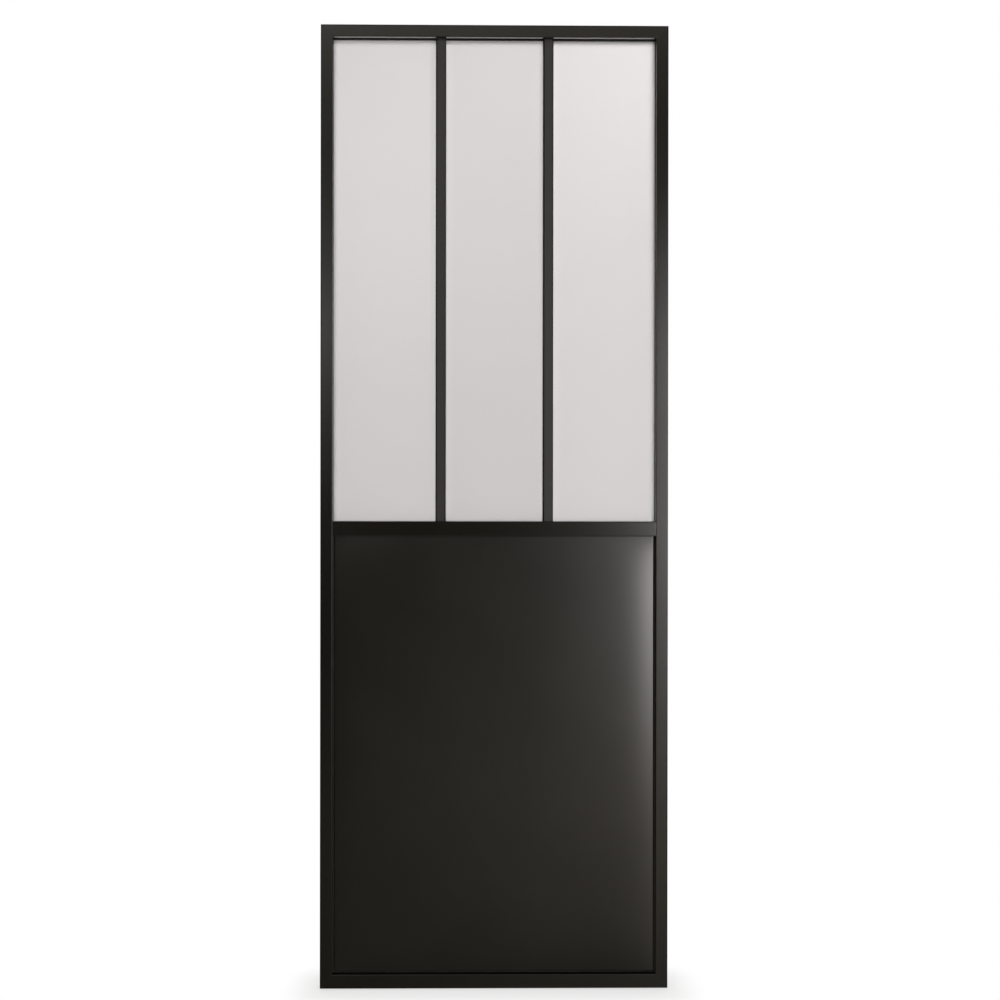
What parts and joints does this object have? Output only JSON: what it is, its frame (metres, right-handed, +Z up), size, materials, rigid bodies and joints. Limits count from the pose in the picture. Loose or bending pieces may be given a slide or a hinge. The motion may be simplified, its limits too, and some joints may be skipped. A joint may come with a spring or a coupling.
{
  "type": "glazed door leaf",
  "caption": "Narrow door leaf with a dark coated metal frame, upright glazed panes above and a sheet-metal panel below.",
  "frame": {"origin": "centre of the top face, which is the top rail's upper side, where the leaf hangs", "axes": "+Z up along the stiles, +X to the right of the pictured face, -Y out of the pictured face"},
  "size_m": [0.74, 0.04, 2.05],
  "materials": {
    "coated_metal": "dark warm grey powder coat, satin",
    "satin_glass": "pale satin glass",
    "black_rubber": "matt black glazing rubber",
    "core_board": "dark fibre board"
  },
  "bodies": {
    "root": {"left_stile": "coated_metal", "right_stile": "coated_metal", "top_rail": "coated_metal", "middle_rail": "coated_metal", "bottom_rail": "coated_metal", "left_bar": "coated_metal", "right_bar": "coated_metal", "left_glass": "satin_glass", "middle_glass": "satin_glass", "right_glass": "satin_glass", "left_gasket": "black_rubber", "middle_gasket": "black_rubber", "right_gasket": "black_rubber", "front_left_bead": "coated_metal", "front_right_bead": "coated_metal", "front_top_beads": "coated_metal", "front_low_beads": "coated_metal", "rear_left_bead": "coated_metal", "rear_right_bead": "coated_metal", "rear_top_beads": "coated_metal", "rear_low_beads": "coated_metal", "front_panel": "coated_metal", "rear_panel": "coated_metal", "panel_core": "core_board", "front_panel_beads": "coated_metal", "rear_panel_beads": "coated_metal"}
  },
  "joints": []
}
